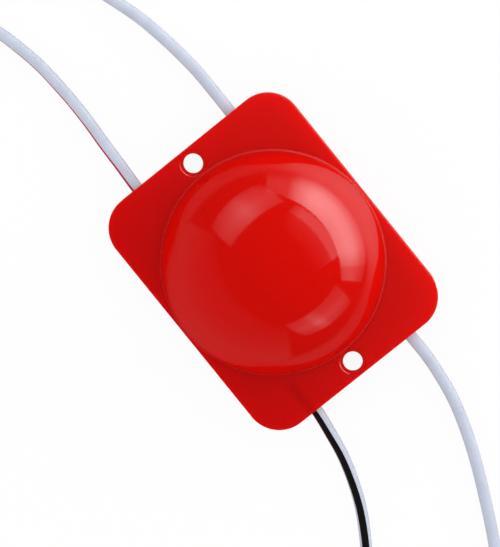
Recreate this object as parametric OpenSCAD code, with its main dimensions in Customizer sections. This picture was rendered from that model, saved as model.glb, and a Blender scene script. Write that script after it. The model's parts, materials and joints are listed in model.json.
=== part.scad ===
// Chip-on-board LED module: a red dome cover with a flange for two screws, closed at the
// back by the aluminium-core board that carries the emitter, with two leads at each end.
// Origin at the middle of the back face, X along the long side, dome towards +Z.

/* [Cover] */
// Length of the flange, along X
plate_l = 45; // [42:0.5:50]
// Width of the flange, along Y
plate_w = 36; // [36:0.5:50]
// Radius of the flange's corners
corner_r = 5.5; // [4:0.25:8]
// Rounding of the flange's upper edge
edge_r = 0.1; // [0.1:0.05:0.6]
// Thickness of the flange over the leads
sheet_t = 1.2; // [1:0.1:2.5]
// Thickness of the skirt round the board
skirt_t = 1.4; // [1:0.1:2]
// Width of the ledge that the board seats on
ledge_w = 0.7; // [0.4:0.1:1.2]

/* [Dome] */
// Outer radius of the dome, whose centre is in the flange's upper face
dome_r = 17.6; // [15.5:0.1:17.7]
// Wall of the dome
dome_t = 1.8; // [1:0.1:2.5]
// Fillet at the foot of the dome
foot_r = 0.3; // [0.1:0.05:0.3]

/* [Screw holes] */
// Distance of a screw hole from the short side of the flange
hole_in = 2.5; // [2.3:0.05:3]
// Diameter of the screw holes
hole_d = 3.1; // [2.5:0.1:3.6]
// Diameter of the shallow recess round each screw hole
recess_d = 4.3; // [4.2:0.05:4.5]
// Depth of that recess, and width of its sloping side
recess_h = 0.15; // [0.1:0.05:0.3]
// Thickness of the web that each screw passes
web_t = 0.8; // [0.6:0.1:1.2]
// Diameter of the relief below that web
relief_d = 4; // [3.8:0.1:4.4]
// Diameter of the boss round each screw hole
boss_d = 6; // [5.4:0.1:6.4]

/* [Board] */
// Thickness of the board's aluminium core
alu_t = 1.1; // [0.8:0.1:2]
// Thickness of the insulating white face on the core
face_t = 0.1; // [0.08:0.01:0.2]
// Width of the sealant bead round the board
seal_w = 0.5; // [0.3:0.1:0.8]
// How far the sealant lies behind the back face
seal_drop = 0.15; // [0:0.05:0.3]

/* [Emitter] */
// Gel between the dice's corners and the dam ring
gel_margin = 0.7; // [0.3:0.1:1.5]
// Width of the dam ring
dam_w = 0.9; // [0.6:0.1:1.4]
// Height of the gel inside the dam ring
gel_h = 0.5; // [0.4:0.05:0.8]
// Side of a light-emitting die
die_s = 1; // [0.6:0.1:1.2]
// Thickness of a light-emitting die
die_h = 0.2; // [0.1:0.05:0.3]
// Distance between neighbouring dice
die_pitch = 1.9; // [1.4:0.1:2]

/* [Driver parts] */
// Length of the driver chip's body
driver_l = 4.5; // [4:0.1:5]
// Width of the driver chip's body
driver_w = 2.5; // [2:0.1:3]
// Height of the driver chip's body
driver_h = 1.5; // [1.2:0.1:1.7]
// Distance between neighbouring leads of the driver chip
pin_pitch = 1.5; // [1.2:0.1:1.6]
// Width of a lead of the driver chip
pin_w = 0.5; // [0.3:0.1:0.7]
// Length of the driver chip's leads and of its heat tab
pin_l = 0.8; // [0.5:0.1:1]
// Thickness of the driver chip's leads and of its heat tab
pin_t = 0.4; // [0.2:0.1:0.6]
// Width of the driver chip's heat tab
tab_w = 2; // [1.4:0.1:3]
// Length of a chip resistor
resistor_l = 3.2; // [2:0.1:3.6]
// Width of a chip resistor
resistor_w = 1.6; // [1.2:0.1:2]
// Height of a chip resistor
resistor_h = 0.6; // [0.4:0.1:0.8]
// Length of a chip resistor's tinned ends
resistor_end = 0.5; // [0.3:0.05:0.7]
// Distance of the driver parts from the long sides of the flange
driver_in = 8.5; // [8:0.1:9.5]
// Distance between the two chip resistors
resistor_pitch = 5; // [4.2:0.1:6]

/* [Leads] */
// Outer diameter of a lead's insulation
lead_d = 1.9; // [1.4:0.1:2]
// Diameter of a lead's stranded conductor
core_d = 0.9; // [0.6:0.05:1]
// Distance of the leads from the long sides of the flange
lead_in = 8.5; // [7:0.1:10]
// Clearance round a lead in its hole
lead_gap = 0.1; // [0.05:0.05:0.2]
// Length of a lead's insulation inside the cover
lead_tail = 11; // [9.5:0.1:12]
// Length of the conductor in its soldered joint
core_l = 2.4; // [2:0.1:3]
// Radius of a soldered joint
solder_r = 1.8; // [1.6:0.1:2.2]
// Length of the bare conductor at a lead's free end
tip_l = 4; // [2:0.5:8]

/* [Hidden] */
$fn = 96;
LEADS = ["left_plus", "left_minus", "right_minus", "right_plus"];

// Small overlap that keeps cuts and joined solids clean
eps = 0.05;

// Heights, from the back face up
board_t = alu_t + face_t;
lead_hole_r = lead_d / 2 + lead_gap;
lead_z = board_t + eps + lead_hole_r;
ceiling_z = lead_z + lead_hole_r + eps;
flange_z = ceiling_z + sheet_t;

// How far the board and the hollow over it lie inside the recess for the board
board_in = seal_w;
hollow_in = seal_w + ledge_w;
bore_r = dome_r - dome_t;

// Screw holes, and the emitter's gel round the corners of its dice
hole_x = plate_l / 2 - hole_in;
gel_r = sqrt(2) * (die_pitch + die_s / 2) + gel_margin;

// Places of the driver parts and of the leads
driver_y = plate_w / 2 - driver_in;
lead_y = plate_w / 2 - lead_in;
lead_start = plate_l / 2 - lead_tail;

// Sides that each lead is on, in the order of LEADS
lead_x_side = [-1, -1, 1, 1];
lead_y_side = [-1, 1, -1, 1];
// Sides of a lead's tube
tube_sides = 8;
// Solder over the top of a conductor
solder_cover = 0.2;

// Height of a lead's axis where it lies on the surface that the module stands on
lie_z = lead_d / 2 + 0.02;
// Share of the way down from its hole that a lead still has to go, at the first points of its route
drop_left = [0.89, 0.59, 0.29, 0.06];
// Routes of the free stretches: how far each point lies out from the short side, and how far
// across from the lead's hole towards +Y
routes = [
    [[4.5, 0.2], [8.5, 0.3], [12.5, 0.5], [16.5, 0.55], [20.5, 0.4], [24.5, 0.1], [28.5, -0.6],
     [32.5, -1.6], [36.5, -3.2], [40.5, -5.2], [44.5, -7.6], [48, -10.1], [51, -12.6]],
    [[4.5, 0], [8.5, -0.1], [12.5, -0.5], [16.5, -1.1], [20.5, -1.9], [24.5, -3.1], [28.5, -4.5],
     [32.5, -6.3], [36.5, -8.4], [40.5, -10.9], [44, -13.5], [47.5, -16.4]],
    [[4.5, -0.6], [8.5, -1.35], [12.5, -2.6], [16.5, -4.25], [20, -6.2], [23.5, -8.5], [27, -11],
     [30.5, -13.7], [33.9, -16.5], [37.2, -19.4], [40.4, -22.4], [43.4, -25.5]],
    [[4.5, 0], [8.5, -0.4], [12.5, -1.1], [16.5, -2.25], [20.5, -3.7], [24.5, -5.4], [28.5, -7.3],
     [32.5, -9.3], [36.5, -11.5], [40, -13.7], [43.5, -16.2], [46.8, -18.9]]
];

function route_z(k) = lie_z + (k < len(drop_left) ? drop_left[k] : 0) * (lead_z - lie_z);

// A point of a lead's axis, by its distance from the middle and across from the lead's hole
function lead_point(i, x, across, z) = [lead_x_side[i] * x, lead_y_side[i] * lead_y + across, z];

// A lead's axis from inside the cover, through its hole, to its free end
function lead_axis(i) = concat(
    [for (x = [lead_start, (lead_start + plate_l / 2) / 2, plate_l / 2]) lead_point(i, x, 0, lead_z)],
    [for (k = [0 : len(routes[i]) - 1])
        lead_point(i, plate_l / 2 + routes[i][k].x, routes[i][k].y, route_z(k))]
);

// Places of the two screw holes
module at_screws() {
    for (side = [-1, 1]) translate([side * hole_x, 0, 0]) children();
}

// Rectangle with round corners
module round_rect(l, w, r) {
    square([l - 2 * r, w], center = true);
    square([l, w - 2 * r], center = true);
    for (x = [-1, 1], y = [-1, 1]) translate([x * (l / 2 - r), y * (w / 2 - r)]) circle(r);
}

// Outline inside the skirt, with a bite round each screw boss, drawn in by an even distance
module inside(drawn_in) {
    wall = skirt_t + drawn_in;
    difference() {
        round_rect(plate_l - 2 * wall, plate_w - 2 * wall, corner_r - wall);
        at_screws() circle(boss_d / 2 + drawn_in);
    }
}

// Half section of a post with its upper edge rounded
module post_section(r, h, edge) {
    square([r, h - edge]);
    square([r - edge, h]);
    translate([r - edge, h - edge]) circle(edge);
}

// Section of a bar with both upper edges rounded
module bar_section(w, h, edge) {
    translate([-w / 2, 0]) square([w, h - edge]);
    translate([edge - w / 2, 0]) square([w - 2 * edge, h]);
    for (side = [-1, 1]) translate([side * (w / 2 - edge), h - edge]) circle(edge);
}

// Block with round corners and a rounded upper edge
module soft_block(l, w, r, h, edge) {
    for (x = [-1, 1], y = [-1, 1])
        translate([x * (l / 2 - r), y * (w / 2 - r), 0]) rotate_extrude() post_section(r, h, edge);
    rotate([90, 0, 90]) linear_extrude(l - 2 * r, center = true) bar_section(w, h, edge);
    rotate([90, 0, 0]) linear_extrude(w - 2 * r, center = true) bar_section(l, h, edge);
}

// Half section of the dome, with the fillet at its foot, down into the flange
module dome_section() {
    fillet_x = sqrt(pow(dome_r + foot_r, 2) - pow(foot_r, 2));
    fillet_top = foot_r * dome_r / (dome_r + foot_r);
    intersection() {
        circle(dome_r);
        square(dome_r);
    }
    difference() {
        translate([0, -sheet_t]) square([fillet_x, sheet_t + fillet_top]);
        translate([fillet_x, foot_r]) circle(foot_r);
    }
}

// Half section of the hollow in the dome, open through the flange
module bore_section() {
    intersection() {
        circle(bore_r);
        square(bore_r);
    }
    translate([0, -sheet_t - eps]) square([bore_r, sheet_t + 2 * eps]);
}

// Half section of a screw hole: a recess with a sloping side, the bore, and a wider relief below
module screw_section() {
    web_z = flange_z - recess_h;
    top = recess_h + eps;
    seat_r = recess_d / 2 - recess_h;
    square([hole_d / 2, flange_z]);
    translate([0, -eps]) square([relief_d / 2, web_z - web_t + eps]);
    translate([0, web_z]) polygon([[0, 0], [seat_r, 0], [seat_r + top, top], [0, top]]);
}

// One moulding: dome, flange, screw bosses, and a stepped skirt with holes for the leads
module dome_cover() {
    color([0.82, 0.05, 0.05]) difference() {
        union() {
            soft_block(plate_l, plate_w, corner_r, flange_z, edge_r);
            translate([0, 0, flange_z]) rotate_extrude() dome_section();
        }
        translate([0, 0, -eps]) linear_extrude(board_t + eps) inside(0);
        linear_extrude(ceiling_z) inside(hollow_in);
        translate([0, 0, flange_z]) rotate_extrude() bore_section();
        at_screws() rotate_extrude() screw_section();
        for (i = [0 : len(LEADS) - 1])
            at_lead(i) cylinder(r = lead_hole_r, h = plate_l / 2 - lead_start + eps);
    }
}

// Aluminium core of the board, flush with the skirt at the back
module circuit_board() {
    color([0.85, 0.86, 0.88]) linear_extrude(alu_t) inside(board_in);
}

// Insulating white face of the board, which carries the parts
module board_face() {
    color([0.94, 0.95, 0.95]) translate([0, 0, alu_t]) linear_extrude(face_t) inside(board_in);
}

// Sealant that fills the groove between the board and the skirt
module seal_bead() {
    color([0.75, 0.75, 0.75]) translate([0, 0, seal_drop])
        linear_extrude(board_t - seal_drop) difference() {
            inside(0);
            inside(board_in);
        }
}

// Dispensed ring with a half-round crest, which holds the gel in
module emitter_dam() {
    color([0.95, 0.95, 0.93]) translate([0, 0, board_t]) rotate_extrude() {
        translate([gel_r, 0]) square([dam_w, gel_h]);
        intersection() {
            translate([gel_r + dam_w / 2, gel_h]) circle(dam_w / 2);
            translate([gel_r, gel_h]) square(dam_w);
        }
    }
}

// Light-emitting dice in a square grid, bonded straight to the board
module led_dice() {
    color([0.55, 0.12, 0.1])
        for (x = [-1 : 1], y = [-1 : 1])
            translate([x * die_pitch - die_s / 2, y * die_pitch - die_s / 2, board_t])
                cube([die_s, die_s, die_h]);
}

// Clear gel over the dice
module emitter_gel() {
    color([0.95, 0.6, 0.5, 0.6]) difference() {
        translate([0, 0, board_t]) cylinder(r = gel_r, h = gel_h);
        led_dice();
    }
}

// Moulded body of the regulator
module driver_chip() {
    color([0.12, 0.12, 0.12]) translate([-driver_l / 2, -driver_y - driver_w / 2, board_t])
        cube([driver_l, driver_w, driver_h]);
}

// Three leads on one side of the regulator, and its heat tab on the other
module driver_leads() {
    color([0.8, 0.8, 0.8]) translate([0, -driver_y, board_t]) {
        for (side = [-1 : 1])
            translate([side * pin_pitch - pin_w / 2, -driver_w / 2 - pin_l, 0]) cube([pin_w, pin_l, pin_t]);
        translate([-tab_w / 2, driver_w / 2, 0]) cube([tab_w, pin_l, pin_t]);
    }
}

// Stretch of a chip resistor on one side of the middle, from its middle outwards by an offset
module resistor_stretch(side, offset, l) {
    translate([side * resistor_pitch / 2 + offset - l / 2, driver_y - resistor_w / 2, board_t])
        cube([l, resistor_w, resistor_h]);
}

// Body of a chip resistor
module resistor(side) {
    color([0.1, 0.1, 0.12]) resistor_stretch(side, 0, resistor_l - 2 * resistor_end);
}

module resistor_left() { resistor(-1); }
module resistor_right() { resistor(1); }

// Tinned ends of both chip resistors
module resistor_ends() {
    color([0.8, 0.8, 0.8])
        for (side = [-1, 1], end = [-1, 1])
            resistor_stretch(side, end * (resistor_l - resistor_end) / 2, resistor_end);
}

// Start of a lead's insulation, with +Z pointing out of the cover along the lead
module at_lead(i) {
    translate([lead_x_side[i] * lead_start, lead_y_side[i] * lead_y, lead_z])
        rotate([0, lead_x_side[i] * 90, 0]) children();
}

// Stripped conductor inside the cover
module core(i) {
    color([0.85, 0.6, 0.4]) at_lead(i) translate([0, 0, -core_l]) cylinder(d = core_d, h = core_l);
}

// Mound of solder on the board, over the stripped conductor
module solder(i) {
    mound_h = lead_z - board_t + core_d / 2 + solder_cover;
    ball_r = (solder_r * solder_r + mound_h * mound_h) / (2 * mound_h);
    mound_x = lead_start - max(solder_r, ball_r);
    color([0.75, 0.76, 0.78]) difference() {
        translate([lead_x_side[i] * mound_x, lead_y_side[i] * lead_y, board_t]) intersection() {
            translate([0, 0, mound_h - ball_r]) sphere(ball_r);
            cylinder(r = 2 * ball_r, h = 2 * ball_r);
        }
        core(i);
    }
}

function unit(v) = v / norm(v);

// Direction of a path at one of its points
function heading(path, k) = unit(path[min(k + 1, len(path) - 1)] - path[max(k - 1, 0)]);

// Points of one ring of a tube, square to its path
function ring(path, k, r) =
    let (along = heading(path, k), across = unit(cross(along, [0, 0, 1])), up = cross(across, along))
    [for (s = [0 : tube_sides - 1])
        path[k] + r * (cos(360 * s / tube_sides) * across + sin(360 * s / tube_sides) * up)];

// Tube swept along a path, closed at both ends
module tube(path, r) {
    n = tube_sides;
    last = len(path) - 1;
    points = [for (k = [0 : last]) each ring(path, k, r)];
    walls = [for (k = [0 : last - 1], s = [0 : n - 1])
        [k * n + s, k * n + (s + 1) % n, (k + 1) * n + (s + 1) % n, (k + 1) * n + s]];
    start_cap = [for (s = [n - 1 : -1 : 0]) s];
    end_cap = [for (s = [0 : n - 1]) last * n + s];
    polyhedron(points, concat([start_cap, end_cap], walls));
}

// Insulated lead, from its soldered joint to its free end
module lead(i) {
    color([0.9, 0.92, 0.97]) tube(lead_axis(i), lead_d / 2);
}

// Bare conductor at the free end
module tip(i) {
    path = lead_axis(i);
    last = len(path) - 1;
    along = path[last] - path[last - 1];
    color([0.85, 0.6, 0.4]) translate(path[last]) rotate([0, 90, atan2(along.y, along.x)])
        cylinder(d = core_d, h = tip_l);
}

dome_cover();
circuit_board();
board_face();
seal_bead();
emitter_dam();
led_dice();
emitter_gel();
driver_chip();
driver_leads();
resistor_left();
resistor_right();
resistor_ends();
for (i = [0 : len(LEADS) - 1]) {
    solder(i);
    core(i);
    lead(i);
    tip(i);
}
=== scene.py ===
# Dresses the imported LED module: a glossy red dome cover, white striped leads, studio light and camera.
import json
import math

import bpy
from mathutils import Matrix, Vector


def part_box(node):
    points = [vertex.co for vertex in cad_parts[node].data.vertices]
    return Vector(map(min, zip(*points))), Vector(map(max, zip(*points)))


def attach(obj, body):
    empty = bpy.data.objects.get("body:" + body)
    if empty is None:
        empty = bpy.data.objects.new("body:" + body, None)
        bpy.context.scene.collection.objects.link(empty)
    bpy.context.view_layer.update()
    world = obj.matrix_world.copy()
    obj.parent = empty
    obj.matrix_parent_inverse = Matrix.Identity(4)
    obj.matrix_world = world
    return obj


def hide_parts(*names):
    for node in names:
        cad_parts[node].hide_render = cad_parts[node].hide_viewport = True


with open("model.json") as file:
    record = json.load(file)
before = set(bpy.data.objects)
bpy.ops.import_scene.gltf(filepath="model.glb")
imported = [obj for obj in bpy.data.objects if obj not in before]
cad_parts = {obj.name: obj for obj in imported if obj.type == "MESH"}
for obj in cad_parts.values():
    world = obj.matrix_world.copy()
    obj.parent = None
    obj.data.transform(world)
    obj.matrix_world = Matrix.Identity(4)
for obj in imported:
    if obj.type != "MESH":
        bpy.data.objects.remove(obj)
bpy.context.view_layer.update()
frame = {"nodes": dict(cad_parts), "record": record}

MM = 0.001
NODES = frame["nodes"]

# Size of the photograph, where the middle of the flange lies in it, and its scale there
PHOTO_W = 500
PHOTO_H = 547
FLANGE_PX = Vector((273.1, 262.6))
PX_PER_MM = 6.367

# Camera, as it stood over the module, and the direction of +X across the photograph, as parts to the
# right and down
VIEW_DISTANCE = 471 * MM
TILT_TO_Y = math.radians(4.9)
TILT_TO_X = math.radians(-2.9)
X_RIGHT = 0.6256
X_DOWN = 0.7802
SENSOR = 36.0
CLIP_START = 10 * MM
CLIP_END = 10.0

# Cover and leads, as in the part's source
DOME_R = 17.6 * MM
COVER_LOW, COVER_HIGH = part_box("dome_cover")
FLANGE_Z = COVER_HIGH[2] - DOME_R
DOME_MIDDLE = Vector((0, 0, FLANGE_Z))
LEAD_D = 1.9 * MM
LEAD_IN = 8.5 * MM
LEAD_Y = COVER_HIGH[1] - LEAD_IN
LEAD_Z = 2.3 * MM
LEAD_TAIL = 11 * MM
FLOOR_GAP = 0.02 * MM
LIE_Z = LEAD_D / 2 + FLOOR_GAP
CORE_D = 0.9 * MM
TIP_L = 4 * MM

# Sides that each lead is on, along X and Y
LEADS = {"left_plus": (-1, -1), "left_minus": (-1, 1), "right_minus": (1, -1), "right_plus": (1, 1)}
# Share of the way down from its hole that a lead still has to go, at the first points of its route
DROP_LEFT = (0.89, 0.59, 0.29, 0.06)
# Free stretches in mm: how far each point lies out from the short side, and across from the hole to +Y
ROUTES = {
    "left_plus": [
        (4.5, 0.2), (8.5, 0.3), (12.5, 0.5), (16.5, 0.55), (20.5, 0.4), (24.5, 0.1), (28.5, -0.6),
        (32.5, -1.6), (36.5, -3.2), (40.5, -5.2), (44.5, -7.6), (48, -10.1), (51, -12.6)],
    "left_minus": [
        (4.5, 0), (8.5, -0.1), (12.5, -0.5), (16.5, -1.1), (20.5, -1.9), (24.5, -3.1), (28.5, -4.5),
        (32.5, -6.3), (36.5, -8.4), (40.5, -10.9), (44, -13.5), (47.5, -16.4)],
    "right_minus": [
        (4.5, -0.6), (8.5, -1.35), (12.5, -2.6), (16.5, -4.25), (20, -6.2), (23.5, -8.5), (27, -11),
        (30.5, -13.7), (33.9, -16.5), (37.2, -19.4), (40.4, -22.4), (43.4, -25.5)],
    "right_plus": [
        (4.5, 0), (8.5, -0.4), (12.5, -1.1), (16.5, -2.25), (20.5, -3.7), (24.5, -5.4), (28.5, -7.3),
        (32.5, -9.3), (36.5, -11.5), (40, -13.7), (43.5, -16.2), (46.8, -18.9)],
}
# Stripe of each lead: its colour, and its angle from the top at the cover and at the free end,
# in degrees, positive towards +Y
STRIPES = {
    "left_plus": ("red_stripe", -65, -121),
    "left_minus": ("black_stripe", -150, -190),
    "right_minus": ("black_stripe", -48, 35),
    "right_plus": ("red_stripe", -165, -200),
}
STRIPE_WIDTH = 75


# Camera

def square_to(direction, axis):
    """Unit vector of the part of a direction that lies square to an axis."""
    return (direction - direction.dot(axis) * axis).normalized()


def view_axes():
    """Unit vectors to the right, up and towards the camera."""
    back = Vector((math.tan(TILT_TO_X), math.tan(TILT_TO_Y), 1)).normalized()
    right = square_to(Vector((X_RIGHT, X_DOWN, 0)), back)
    return right, back.cross(right), back


RIGHT, UP, BACK = view_axes()


def add_camera():
    """Camera over the module, aimed so that the flange lies where the photograph has it."""
    off = (FLANGE_PX - Vector((PHOTO_W / 2, PHOTO_H / 2))) / PX_PER_MM * MM
    aim = DOME_MIDDLE - off.x * RIGHT + off.y * UP
    data = bpy.data.cameras.new("camera")
    data.sensor_width = SENSOR
    data.lens = SENSOR * VIEW_DISTANCE / MM * PX_PER_MM / PHOTO_H
    data.clip_start = CLIP_START
    data.clip_end = CLIP_END
    camera = bpy.data.objects.new("camera", data)
    turn = Matrix((RIGHT, UP, BACK)).transposed().to_4x4()
    camera.matrix_world = Matrix.Translation(aim + VIEW_DISTANCE * BACK) @ turn
    bpy.context.scene.collection.objects.link(camera)
    bpy.context.scene.camera = camera


# Nodes of materials and lamps

def add_split(tree, vector):
    """Parts of a vector along X, Y and Z."""
    split = tree.nodes.new("ShaderNodeSeparateXYZ")
    tree.links.new(vector, split.inputs[0])
    return split.outputs


def add_place(tree):
    """Place on an object, as its parts along X, Y and Z."""
    return add_split(tree, tree.nodes.new("ShaderNodeTexCoord").outputs["Object"])


def add_noise(tree, scale, detail, stretch=None):
    """Noise over an object, by its cycles for each metre and its levels of detail."""
    noise = tree.nodes.new("ShaderNodeTexNoise")
    noise.inputs["Scale"].default_value = scale
    noise.inputs["Detail"].default_value = detail
    source = tree.nodes.new("ShaderNodeTexCoord").outputs["Object"]
    if stretch:
        mapping = tree.nodes.new("ShaderNodeMapping")
        mapping.inputs["Scale"].default_value = stretch
        tree.links.new(source, mapping.inputs["Vector"])
        source = mapping.outputs["Vector"]
    tree.links.new(source, noise.inputs["Vector"])
    return noise.outputs["Fac"]


def add_math(tree, operation, *values):
    """Result of an operation on sockets or plain numbers."""
    node = tree.nodes.new("ShaderNodeMath")
    node.operation = operation
    for socket, value in zip(node.inputs, values):
        if isinstance(value, (int, float)):
            socket.default_value = value
        else:
            tree.links.new(value, socket)
    return node.outputs[0]


def add_between(tree, factor, low, high):
    """Value between two others, by a factor."""
    return add_math(tree, "MULTIPLY_ADD", factor, high - low, low)


def add_rise(tree, value, low, high, kind="LINEAR"):
    """Factor that rises from 0 to 1 between two values."""
    rise = tree.nodes.new("ShaderNodeMapRange")
    rise.interpolation_type = kind
    rise.inputs["From Min"].default_value = low
    rise.inputs["From Max"].default_value = high
    tree.links.new(value, rise.inputs["Value"])
    return rise.outputs["Result"]


def add_step(tree, value, low, high):
    """Factor that rises from 0 to 1 between two values, with a soft start and end."""
    return add_rise(tree, value, low, high, "SMOOTHSTEP")


def add_decay(tree, away, fade):
    """Factor that falls from 1 with a distance."""
    return add_math(tree, "EXPONENT", add_math(tree, "DIVIDE", away, -fade))


def add_ramp(tree, factor, stops):
    """Colour along a factor, from positions and the colours there."""
    ramp = tree.nodes.new("ShaderNodeValToRGB")
    marks = ramp.color_ramp.elements
    while len(marks) < len(stops):
        marks.new(0.5)
    for mark, (position, color) in zip(marks, stops):
        mark.position = position
        mark.color = (*color, 1)
    tree.links.new(factor, ramp.inputs["Fac"])
    return ramp.outputs["Color"]


def add_fade(tree, factor, levels):
    """Level along a factor, from positions and the levels there."""
    return add_ramp(tree, factor, [(position, (level,) * 3) for position, level in levels])


def add_bump(tree, shader, factor, raised):
    """Raises the surface by a height in metres times a factor."""
    bump = tree.nodes.new("ShaderNodeBump")
    bump.inputs["Strength"].default_value = 1
    bump.inputs["Distance"].default_value = raised
    tree.links.new(factor, bump.inputs["Height"])
    tree.links.new(bump.outputs["Normal"], shader.inputs["Normal"])


def add_mix(tree, share, first, second):
    """Two shaders, mixed by the share of the second one."""
    mix = tree.nodes.new("ShaderNodeMixShader")
    tree.links.new(share, mix.inputs["Fac"])
    tree.links.new(first.outputs[0], mix.inputs[1])
    tree.links.new(second.outputs[0], mix.inputs[2])
    return mix


# Materials

# Red of the flange from its edge to -Y to that to +Y, where painted light and a faint painted sheen make it
# lighter, red of the dome, and the heights over the flange between which one turns into the other
FLANGE_REDS_PAINTED_LIGHT = [(0, (0.605, 0.0004, 0.0003)), (1, (0.718, 0.0046, 0.0028))]
DOME_RED = (0.665, 0.0032, 0.0012)
RED_TURNS = (0.1 * MM, 0.9 * MM)
# Refraction of the red plastic, and how it scatters light: how much of it, how deep, and how far that
# reaches in red, green and blue
PLASTIC_IOR = 1.7
SCATTER_SHARE = 0.7
SCATTER_DEPTH = 3 * MM
SCATTER_REACH = (1.0, 0.12, 0.08)
# Roughness of the dome, and what is rougher by its height in mm over the flange: the side walls, the
# flange and the corner at the dome's foot
DOME_ROUGHNESS = (0.06, 0.10)
UNPOLISHED = [(-0.2, 0.4), (-0.1, 0.2), (0, 0.2), (0.02, 0.6), (0.3, 0.6), (0.5, 0)]
# Grain of that roughness, and grain and height of the waves in the plastic
DOME_GRAIN = (400, 3)
WAVE_GRAIN = (160, 2)
WAVE_HEIGHT = 0.012 * MM
# Where the black stripe of a lead shows through the flange: its middle line, where it starts along X, how
# it fades to both sides, and the light that is left over it
SHADOW_Y = -10.0 * MM
SHADOW_X = (15 * MM, 18 * MM)
SHADOW_FADE = (0.1 * MM, 1.3 * MM)
SHADOW_LEFT = 0.83
# Levels of a grain between which a colour turns from its darker shade to itself
SHADE_ENDS = (0.3, 0.7)


def new_material(name, color, roughness, metallic=0.0):
    """Material with a Principled shader, returned with its node tree and shader."""
    material = bpy.data.materials.new(name)
    material.use_nodes = True
    tree = material.node_tree
    shader = tree.nodes["Principled BSDF"]
    shader.inputs["Base Color"].default_value = (*color, 1)
    shader.inputs["Roughness"].default_value = roughness
    shader.inputs["Metallic"].default_value = metallic
    return material, tree, shader


def add_show_through(tree, place):
    """Share of the light left over the black stripe of a lead, which shows softly through the flange."""
    away = add_math(tree, "ABSOLUTE", add_math(tree, "SUBTRACT", place["Y"], SHADOW_Y))
    before = add_math(tree, "SUBTRACT", 1, add_step(tree, place["X"], *SHADOW_X))
    clear = add_math(tree, "MAXIMUM", add_step(tree, away, *SHADOW_FADE), before)
    return add_between(tree, clear, SHADOW_LEFT, 1)


def add_reds(tree, place):
    """Red of the flange, with painted light that makes it lighter towards +Y, and of the dome, with what
    shows through.
    """
    reds = tree.nodes.new("ShaderNodeMixRGB")
    low, high = [FLANGE_Z + height for height in RED_TURNS]
    tree.links.new(add_rise(tree, place["Z"], low, high), reds.inputs["Fac"])
    # Painted light: the flange's red turns lighter towards +Y
    across = add_rise(tree, place["Y"], COVER_LOW[1], COVER_HIGH[1])
    tree.links.new(add_ramp(tree, across, FLANGE_REDS_PAINTED_LIGHT), reds.inputs["Color1"])
    reds.inputs["Color2"].default_value = (*DOME_RED, 1)
    shaded = tree.nodes.new("ShaderNodeVectorMath")
    shaded.operation = "SCALE"
    tree.links.new(reds.outputs["Color"], shaded.inputs[0])
    tree.links.new(add_show_through(tree, place), shaded.inputs["Scale"])
    return shaded.outputs["Vector"]


def add_unpolished(tree, place):
    """Roughness of what is less polished than the dome."""
    low = UNPOLISHED[0][0]
    high = UNPOLISHED[-1][0]
    up = add_rise(tree, place["Z"], FLANGE_Z + low * MM, FLANGE_Z + high * MM)
    return add_fade(tree, up, [((height - low) / (high - low), level) for height, level in UNPOLISHED])


def red_plastic():
    """Translucent moulded plastic with a polished dome."""
    material, tree, shader = new_material("red_plastic", DOME_RED, DOME_ROUGHNESS[0])
    shader.inputs["IOR"].default_value = PLASTIC_IOR
    shader.inputs["Subsurface Weight"].default_value = SCATTER_SHARE
    shader.inputs["Subsurface Radius"].default_value = SCATTER_REACH
    shader.inputs["Subsurface Scale"].default_value = SCATTER_DEPTH
    place = add_place(tree)
    tree.links.new(add_reds(tree, place), shader.inputs["Base Color"])
    polished = add_between(tree, add_noise(tree, *DOME_GRAIN), *DOME_ROUGHNESS)
    rough = add_math(tree, "MAXIMUM", polished, add_unpolished(tree, place))
    tree.links.new(rough, shader.inputs["Roughness"])
    add_bump(tree, shader, add_noise(tree, *WAVE_GRAIN), WAVE_HEIGHT)
    return material


def uneven(name, color, shade, roughness, raised, grains, metallic=0.0, stretch=None):
    """Material with a grain in its colour, which turns to a darker shade, one in its roughness, which
    lies between two values, and one that raises its surface."""
    material, tree, shader = new_material(name, color, roughness[0], metallic)
    tint, polish, height = [add_noise(tree, *grain, stretch) for grain in grains]
    dark = [shade * part for part in color]
    tree.links.new(add_ramp(tree, tint, list(zip(SHADE_ENDS, (dark, color)))), shader.inputs["Base Color"])
    tree.links.new(add_between(tree, polish, *roughness), shader.inputs["Roughness"])
    add_bump(tree, shader, height, raised)
    return material


def insulation(name, color):
    """Smooth extruded plastic of the leads."""
    return uneven(name, color, shade=0.93, roughness=(0.3, 0.4), raised=0.004 * MM,
                  grains=[(500, 3), (1500, 2), (1200, 2)])


def metal(name, color, roughness, scale):
    """Bare metal with a fine grain along X."""
    return uneven(name, color, shade=0.86, roughness=(0.75 * roughness, 1.25 * roughness),
                  raised=0.004 * MM, grains=[(scale, 4)] * 3, metallic=1.0, stretch=(0.03, 1, 1))


def moulded(name, color, roughness):
    """Plain moulded or dispensed material with a little unevenness."""
    return uneven(name, color, shade=0.85, roughness=(0.85 * roughness, 1.15 * roughness),
                  raised=0.02 * MM, grains=[(600, 4), (1800, 2), (1200, 3)])


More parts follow.
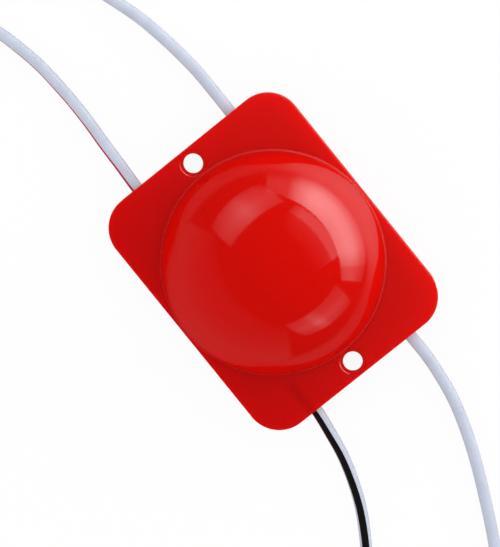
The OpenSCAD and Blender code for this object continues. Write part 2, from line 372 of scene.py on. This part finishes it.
MATERIALS = {
    "red_plastic": red_plastic(),
    "board": metal("board", (0.72, 0.73, 0.74), 0.32, 9000),
    "board_face": moulded("board_face", (0.85, 0.86, 0.86), 0.4),
    "sealant": moulded("sealant", (0.55, 0.55, 0.53), 0.5),
    "dam": moulded("dam", (0.86, 0.86, 0.83), 0.45),
    "dice": moulded("dice", (0.42, 0.09, 0.07), 0.2),
    "gel": moulded("gel", (0.80, 0.40, 0.30), 0.15),
    "chip_body": moulded("chip_body", (0.02, 0.02, 0.02), 0.55),
    "tinned": metal("tinned", (0.72, 0.72, 0.71), 0.25, 6000),
    "resistor": moulded("resistor", (0.025, 0.025, 0.03), 0.35),
    "solder": metal("solder", (0.68, 0.69, 0.70), 0.22, 2500),
    "copper": metal("copper", (0.80, 0.42, 0.22), 0.25, 8000),
    "insulation": insulation("insulation", (0.57, 0.62, 0.74)),
    "black_stripe": insulation("black_stripe", (0.006, 0.005, 0.0055)),
    "red_stripe": insulation("red_stripe", (0.55, 0.012, 0.07)),
}


def dress_nodes():
    """Gives every CAD node the material of its slot."""
    for part in frame["record"]["subparts"]:
        mesh = NODES[part["node"]].data
        mesh.materials.clear()
        mesh.materials.append(MATERIALS[part["material_slot"]])


# Leads

# Sides of a lead's tube, and its rings for each stretch of the route
LEAD_SIDES = 48
LEAD_STEPS = 6
# Strands of a bare conductor, three of which lie across it: their number round the middle one, their turn
# over the bare length in degrees, and how far the cut end opens
STRAND_R = CORE_D / 6
STRANDS = 6
STRAND_TURN = 200
STRAND_SPLAY = 0.25
STRAND_SIDES = 10
STRAND_STEPS = 14


def smooth_path(points, steps):
    """Points of a smooth curve through the given ones."""
    fine = []
    last = len(points) - 1
    for k in range(last):
        before = points[max(k - 1, 0)]
        start = points[k]
        end = points[k + 1]
        after = points[min(k + 2, last)]
        leave = (end - before) / 2 if k else end - start
        arrive = (after - start) / 2 if k + 1 < last else end - start
        for step in range(steps):
            t = step / steps
            fine.append((2 * t**3 - 3 * t**2 + 1) * start + (t**3 - 2 * t**2 + t) * leave
                        + (3 * t**2 - 2 * t**3) * end + (t**3 - t**2) * arrive)
    return fine + [points[last]]


def lead_points(name):
    """Route of a lead, from its soldered joint to its free end."""
    side_x, side_y = LEADS[name]
    hole = COVER_HIGH[0]
    inside = (hole - LEAD_TAIL, hole - LEAD_TAIL / 2, hole)
    points = [Vector((side_x * x, side_y * LEAD_Y, LEAD_Z)) for x in inside]
    for k, (out, across) in enumerate(ROUTES[name]):
        left = DROP_LEFT[k] if k < len(DROP_LEFT) else 0
        points.append(Vector((side_x * (hole + out * MM), side_y * LEAD_Y + across * MM,
                              LIE_Z + left * (LEAD_Z - LIE_Z))))
    return points


def path_frames(path):
    """Each point of a path, with its direction, sideways and upward vectors."""
    frames = []
    for k, point in enumerate(path):
        along = (path[min(k + 1, len(path) - 1)] - path[max(k - 1, 0)]).normalized()
        side = along.cross(Vector((0, 0, 1))).normalized()
        frames.append((point, along, side, side.cross(along)))
    return frames


def tube_faces(first, rings, sides):
    """Faces of a closed tube, from the number of its first vertex: its sides, then its two ends."""
    faces = []
    for k in range(rings - 1):
        for s in range(sides):
            a = first + k * sides + s
            b = first + k * sides + (s + 1) % sides
            faces.append((a, b, b + sides, a + sides))
    start = tuple(range(first, first + sides))
    end = tuple(corner + (rings - 1) * sides for corner in start)
    return faces + [start[::-1], end]


def new_piece(name, vertices, faces, materials, indices):
    """Smooth mesh object, with its materials and the number of the one on each face."""
    mesh = bpy.data.meshes.new(name)
    mesh.from_pydata(vertices, [], faces)
    for material in materials:
        mesh.materials.append(material)
    mesh.polygons.foreach_set("material_index", indices)
    mesh.polygons.foreach_set("use_smooth", [True] * len(faces))
    mesh.update()
    piece = bpy.data.objects.new(name, mesh)
    bpy.context.scene.collection.objects.link(piece)
    return piece


def add_lead(name):
    """Striped lead as one closed tube, which the dome doesn't mirror, and its middle line."""
    path = smooth_path(lead_points(name), LEAD_STEPS)
    frames = path_frames(path)
    stripe, stripe_start, stripe_end = STRIPES[name]
    towards_y = 1 if frames[0][2].y > 0 else -1
    vertices = []
    for k, (point, _, side, up) in enumerate(frames):
        middle = stripe_start + (stripe_end - stripe_start) * k / (len(path) - 1)
        for s in range(LEAD_SIDES):
            turn = math.radians(middle - STRIPE_WIDTH / 2 + 360 * s / LEAD_SIDES)
            outward = towards_y * math.sin(turn) * side + math.cos(turn) * up
            vertices.append(point + LEAD_D / 2 * outward)
    faces = tube_faces(0, len(path), LEAD_SIDES)
    if towards_y < 0:
        faces = [face[::-1] for face in faces]
    striped = round(LEAD_SIDES * STRIPE_WIDTH / 360)
    ring = [1] * striped + [0] * (LEAD_SIDES - striped)
    materials = [MATERIALS["insulation"], MATERIALS[stripe]]
    piece = new_piece(f"wire_{name}", vertices, faces, materials, ring * (len(path) - 1) + [0, 0])
    piece.visible_glossy = False
    return piece, path


def strand_path(start, along, side, up, place):
    """Middle line of a strand, which winds round the last one, or of that straight one itself."""
    points = []
    for k in range(STRAND_STEPS + 1):
        share = k / STRAND_STEPS
        turn = 2 * math.pi * place / STRANDS + math.radians(STRAND_TURN) * share
        reach = 0 if place == STRANDS else 2 * STRAND_R * (1 + STRAND_SPLAY * share**3)
        points.append(start + TIP_L * share * along + reach * (math.cos(turn) * side + math.sin(turn) * up))
    return points


def add_tip(name, path):
    """Bare strands at the free end of a lead, twisted together."""
    end_frame = path_frames(path)[-1]
    vertices = []
    faces = []
    for place in range(STRANDS + 1):
        faces += tube_faces(len(vertices), STRAND_STEPS + 1, STRAND_SIDES)
        for point, _, side, up in path_frames(strand_path(*end_frame, place)):
            for s in range(STRAND_SIDES):
                turn = 2 * math.pi * s / STRAND_SIDES
                vertices.append(point + STRAND_R * (math.cos(turn) * side + math.sin(turn) * up))
    return new_piece(f"strands_{name}", vertices, faces, [MATERIALS["copper"]], [0] * len(faces))


# Stage

# White floor, which glows for the camera by this share and keeps a soft shadow by the rest
FLOOR_R = 5.0
FLOOR_SIDES = 96
FLOOR_COLOR = 0.95
FLOOR_ROUGHNESS = 0.6
FLOOR_GLOW = 0.93
# The floor as glossy surfaces mirror it: painted light on it, which rises along Y and falls off to both
# sides along X, and how far off it ends
MIRRORED_PAINTED_LIGHT = (0.102, 0.51)
MIRRORED_RISE = (6 * MM, 32 * MM)
MIRRORED_SPREAD = (12 * MM, 38 * MM)
MIRRORED_END = (30 * MM, 46 * MM)
# Soft shadow of the module on it, which starts this far under the flange, lies off to -Y and fades out,
# and the red light that the module throws on it, which fades out too
SHADE_IN = 1.5 * MM
SHADE_OFF = 2.5 * MM
SHADE_FADE = 7 * MM
THROWN_RED = (0.43, 0.003, 0.002)
THROWN_FADE = 24 * MM


def add_away(tree, place):
    """Distance of a place on the floor past the edges of the module's mirrored shadow."""
    off_x = add_math(tree, "ABSOLUTE", place["X"])
    off_y = add_math(tree, "ABSOLUTE", add_math(tree, "ADD", place["Y"], SHADE_OFF))
    past_x = add_math(tree, "SUBTRACT", off_x, COVER_HIGH[0] - SHADE_IN)
    past_y = add_math(tree, "SUBTRACT", off_y, COVER_HIGH[1] - SHADE_IN)
    return add_math(tree, "MAXIMUM", add_math(tree, "MAXIMUM", past_x, past_y), 0)


def add_mirrored_level(tree, place, away):
    """Painted brightness of the floor as glossy surfaces mirror it: painted light that rises towards +Y,
    with the module's painted shadow.
    """
    rise = add_step(tree, place["Y"], *MIRRORED_RISE)
    off = add_step(tree, add_math(tree, "ABSOLUTE", place["X"]), *MIRRORED_SPREAD)
    bright = add_math(tree, "MULTIPLY", rise, add_math(tree, "SUBTRACT", 1, off))
    lit = add_math(tree, "SUBTRACT", 1, add_decay(tree, away, SHADE_FADE))
    return add_math(tree, "MULTIPLY", add_between(tree, bright, *MIRRORED_PAINTED_LIGHT), lit)


def floor_material():
    """White floor, of which glossy surfaces mirror only the dim part near the module, as a glow with
    painted light, shadow and red light.
    """
    material, tree, shader = new_material("floor", (FLOOR_COLOR,) * 3, FLOOR_ROUGHNESS)
    rays = tree.nodes.new("ShaderNodeLightPath").outputs
    mirrored = rays["Is Glossy Ray"]
    place = add_place(tree)
    away = add_away(tree, place)
    # Painted light and shadow in the floor's glow for glossy rays
    dimmed = add_math(tree, "SUBTRACT", add_mirrored_level(tree, place, away), 1)
    glow = tree.nodes.new("ShaderNodeEmission")
    tree.links.new(add_math(tree, "MULTIPLY_ADD", mirrored, dimmed, 1), glow.inputs["Strength"])
    seen = add_math(tree, "ADD", rays["Is Camera Ray"], rays["Is Transmission Ray"])
    plain = add_mix(tree, add_math(tree, "MULTIPLY_ADD", seen, FLOOR_GLOW, mirrored), shader, glow)
    thrown = tree.nodes.new("ShaderNodeEmission")
    thrown.inputs["Color"].default_value = (*THROWN_RED, 1)
    red = add_math(tree, "MULTIPLY", mirrored, add_decay(tree, away, THROWN_FADE))
    tree.links.new(red, thrown.inputs["Strength"])
    near = tree.nodes.new("ShaderNodeAddShader")
    tree.links.new(plain.outputs[0], near.inputs[0])
    tree.links.new(thrown.outputs[0], near.inputs[1])
    far = add_math(tree, "MULTIPLY", mirrored, add_step(tree, rays["Ray Length"], *MIRRORED_END))
    whole = add_mix(tree, far, near, tree.nodes.new("ShaderNodeBsdfTransparent"))
    tree.links.new(whole.outputs[0], tree.nodes["Material Output"].inputs["Surface"])
    return material


def add_floor():
    """Wide round floor under the module."""
    turns = [2 * math.pi * s / FLOOR_SIDES for s in range(FLOOR_SIDES)]
    rim = [(FLOOR_R * math.cos(turn), FLOOR_R * math.sin(turn), 0) for turn in turns]
    floor = new_piece("floor", rim, [tuple(range(FLOOR_SIDES))], [floor_material()], [0])


# Light

PANEL_DISTANCE = 0.35
WORLD_GREY = 0.02


def from_dome(turn, polar):
    """Direction from the dome, by its turn from +X to +Y and its angle from the view, in degrees."""
    across_x = square_to(Vector((1, 0, 0)), BACK)
    across_y = BACK.cross(across_x)
    turn = math.radians(turn)
    polar = math.radians(polar)
    outward = math.cos(turn) * across_x + math.sin(turn) * across_y
    return math.cos(polar) * BACK + math.sin(polar) * outward


def new_lamp(name, size, radiance):
    """Rectangular lamp of a size in metres, by the brightness of its face."""
    data = bpy.data.lights.new(name, "AREA")
    data.shape = "RECTANGLE"
    data.size, data.size_y = size
    data.energy = radiance * math.pi * size[0] * size[1]
    lamp = bpy.data.objects.new(name, data)
    bpy.context.scene.collection.objects.link(lamp)
    return lamp


def add_panel(name, turn, polar, tilt, shift, size, radiance, across, upward):
    """Soft panel round the module, which faces its dome before it is tilted about its own Z, X and Y, and
    shifted along its width. Its brightness has levels across and upward."""
    lamp = new_lamp(name, size, radiance)
    lamp.data.use_nodes = True
    tree = lamp.data.node_tree
    place = add_split(tree, tree.nodes.new("ShaderNodeNewGeometry").outputs["Parametric"])
    level_x = add_fade(tree, place["X"], across)
    level_y = add_fade(tree, place["Y"], upward)
    level = add_math(tree, "MULTIPLY", level_x, level_y)
    tree.links.new(level, tree.nodes["Emission"].inputs["Strength"])
    towards = from_dome(turn, polar)
    facing = (-towards).to_track_quat("-Z", "Y").to_matrix().to_4x4()
    for angle, axis in zip(tilt, "ZXY"):
        facing = facing @ Matrix.Rotation(math.radians(angle), 4, axis)
    facing = facing @ Matrix.Translation((shift, 0, 0))
    lamp.matrix_world = Matrix.Translation(DOME_MIDDLE + PANEL_DISTANCE * towards) @ facing


def add_fill(name, size, radiance, place, turn):
    """Even light that the dome doesn't mirror, turned about X by an angle in degrees."""
    lamp = new_lamp(name, size, radiance)
    lamp.location = place
    lamp.rotation_euler = (math.radians(turn), 0, 0)
    lamp.visible_glossy = False


def add_light():
    """Soft panels on the sides of the module, a tent above and a dark room."""
    add_panel("panel_rear", turn=98, polar=89, tilt=(-2.9, -3.4, -6), shift=-0.04,
              size=(0.96, 0.30), radiance=3.24,
              across=[(0, 0.22), (0.15, 0.23), (0.167, 0.42), (0.205, 0.54), (0.243, 0.70), (0.28, 0.85),
                      (0.46, 0.87), (0.56, 1), (0.62, 1), (0.78, 0.11), (1, 0.09)],
              upward=[(0, 0.24), (0.08, 0.29), (0.2, 0.36), (0.33, 0.56), (0.45, 0.82), (0.57, 0.93),
                      (0.69, 1), (1, 0.78)])
    add_panel("panel_rear_strip", turn=84, polar=47.8, tilt=(4, 0, 0), shift=0.015,
              size=(0.40, 0.211), radiance=0.75,
              across=[(0, 1), (0.8, 1), (1, 0.15)],
              upward=[(0, 1), (0.36, 1), (0.385, 0.3), (0.42, 0.25), (0.67, 0.11), (1, 0.03)])
    add_panel("panel_left", turn=171.9, polar=67, tilt=(20.4, -28.4, 2.7), shift=0,
              size=(0.40, 0.244), radiance=1.06,
              across=[(0, 0.32), (0.3, 0.5), (0.5, 1), (0.66, 0.62), (1, 0.26)],
              upward=[(0, 0.3), (0.45, 0.75), (0.7, 1), (1, 0.65)])
    add_panel("panel_right", turn=-0.9, polar=81.5, tilt=(11.1, -41, 35.5), shift=0,
              size=(0.33, 0.23), radiance=1.21,
              across=[(0, 0.3), (0.37, 0.45), (0.5, 1), (0.63, 0.45), (1, 0.3)],
              upward=[(0, 0.4), (0.35, 0.6), (0.55, 1), (0.8, 0.6), (1, 0.45)])
    add_panel("panel_front", turn=269, polar=90, tilt=(0, 0, 0), shift=0,
              size=(1.4, 0.64), radiance=0.109,
              across=[(0, 1), (1, 1)],
              upward=[(0, 1), (0.245, 1), (0.558, 0.7), (0.9, 0.3), (0.92, 0)])
    add_fill("tent", size=(6, 6), radiance=0.90, place=(0, 0, 0.55), turn=0)
    add_fill("fill_front", size=(0.5, 0.5), radiance=0.32, place=(0, -0.56, 0.2), turn=70)
    world = bpy.data.worlds.new("world")
    world.use_nodes = True
    room = world.node_tree.nodes["Background"]
    room.inputs["Color"].default_value = (WORLD_GREY, WORLD_GREY, WORLD_GREY, 1)
    bpy.context.scene.world = world


add_camera()
dress_nodes()
for lead in LEADS:
    wire, wire_path = add_lead(lead)
    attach(wire, "root")
    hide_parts(f"lead_{lead}")
    strands = add_tip(lead, wire_path)
    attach(strands, "root")
    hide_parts(f"tip_{lead}")
add_floor()
add_light()
bpy.context.scene.view_settings.view_transform = "Standard"
